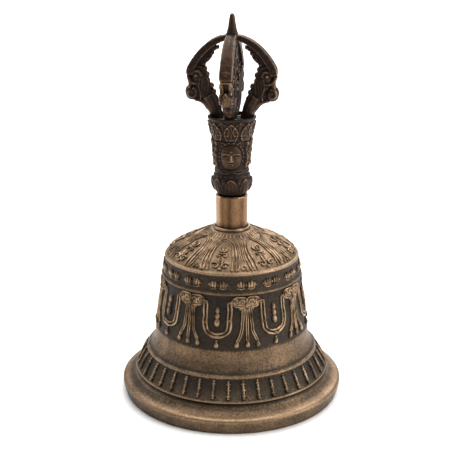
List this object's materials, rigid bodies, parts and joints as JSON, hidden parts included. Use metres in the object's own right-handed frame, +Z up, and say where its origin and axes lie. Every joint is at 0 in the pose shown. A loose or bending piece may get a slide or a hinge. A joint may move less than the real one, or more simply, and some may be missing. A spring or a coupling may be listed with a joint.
{
  "type": "tibetan bell",
  "caption": "Cast bronze hand bell with a flared relief-covered skirt, a half-thunderbolt handle with a pronged cage, and a link-hung clapper.",
  "frame": {"origin": "centre of the circle of the mouth, on the plane that the lip stands on", "axes": "+Z up through the handle's tip; the pronged cage's front prong points along -Y and its right prong along +X"},
  "size_m": [0.1, 0.1, 0.1697],
  "materials": {
    "cast_bronze": "aged cast bronze with dark patina in the recesses",
    "worn_sleeve_bronze": "turned bronze tube, streaky and worn",
    "dark_patina": "dark brown patina, rubbed bright on the high spots",
    "solder": "dull and rough",
    "forged_iron": "forged and blackened",
    "clapper_brass": "cast, with a polished belt where it strikes"
  },
  "bodies": {
    "bell": {"bell_shell": "cast_bronze", "braze_ring": "cast_bronze", "neck_sleeve": "worn_sleeve_bronze", "grip_casting": "dark_patina", "cup_solder": "solder", "prong_right": "dark_patina", "prong_back": "dark_patina", "prong_left": "dark_patina", "prong_front": "dark_patina", "centre_prong": "dark_patina", "eye_bolt": "forged_iron", "crown_washer": "forged_iron", "crown_nut": "forged_iron"},
    "link": {"clapper_link": "forged_iron"},
    "clapper": {"clapper_shank": "forged_iron", "clapper_bob": "clapper_brass"}
  },
  "joints": [
    {"name": "link_swing", "type": "hinge", "parent": "bell", "child": "link", "pos_m": [0, 0, 0.0577], "axis": [0, 1, 0], "range_deg": [-33, 33]},
    {"name": "clapper_cross_swing", "type": "hinge", "parent": "link", "child": "clapper", "pos_m": [0, 0, 0.0487], "axis": [1, 0, 0], "range_deg": [-12, 12]}
  ]
}
